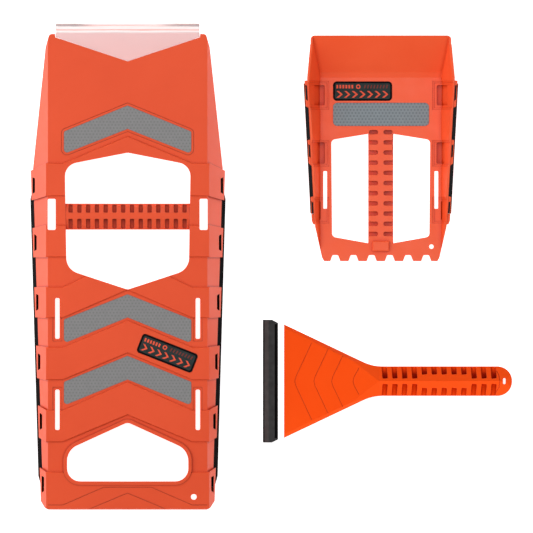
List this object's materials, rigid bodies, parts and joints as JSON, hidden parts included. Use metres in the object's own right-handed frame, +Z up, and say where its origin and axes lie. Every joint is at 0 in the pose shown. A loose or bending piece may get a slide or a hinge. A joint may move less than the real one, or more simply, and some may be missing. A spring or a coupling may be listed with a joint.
{
  "type": "avalanche shovel set",
  "caption": "Safety shovel set laid flat: long flat shovel with clear edge and grip bar, compact toothed shovel, and ice scraper with a slide-on squeegee.",
  "frame": {"origin": "centre of the set's footprint, on the floor", "axes": "+X across the set towards the scraper's handle end, +Y towards the full-length shovel's clear edge, +Z up"},
  "size_m": [0.6276, 0.632, 0.051],
  "materials": {
    "shovel_plastic": "fine satin moulding",
    "compact_plastic": "fine satin moulding",
    "scraper_plastic": "fine satin moulding",
    "clear_plastic": "clear moulded plastic",
    "reflective_sheet": "dotted reflective sheet",
    "badge": "matte print",
    "strip_rubber": "matte",
    "rail_plastic": "satin",
    "lip_rubber": "matte"
  },
  "bodies": {
    "full_length_shovel": {"shovel_body": "shovel_plastic", "clear_edge": "clear_plastic", "reflector_upper": "reflective_sheet", "reflector_middle": "reflective_sheet", "reflector_lower": "reflective_sheet", "shovel_badge": "badge", "shovel_strip_left": "strip_rubber", "shovel_strip_right": "strip_rubber"},
    "compact_shovel": {"compact_body": "compact_plastic", "compact_reflector": "reflective_sheet", "compact_badge": "badge", "compact_strip_left": "strip_rubber", "compact_strip_right": "strip_rubber"},
    "ice_scraper": {"scraper_body": "scraper_plastic"},
    "squeegee": {"squeegee_holder": "rail_plastic", "squeegee_lip": "lip_rubber"}
  },
  "joints": [
    {"name": "compact_lift", "type": "slide", "parent": "full_length_shovel", "child": "compact_shovel", "axis": [0, 0, 1], "range_m": [0, 0.12]},
    {"name": "scraper_lift", "type": "slide", "parent": "full_length_shovel", "child": "ice_scraper", "axis": [0, 0, 1], "range_m": [0, 0.12]},
    {"name": "squeegee_slide", "type": "slide", "parent": "ice_scraper", "child": "squeegee", "axis": [1, 0, 0], "range_m": [0, 0.0148]}
  ]
}
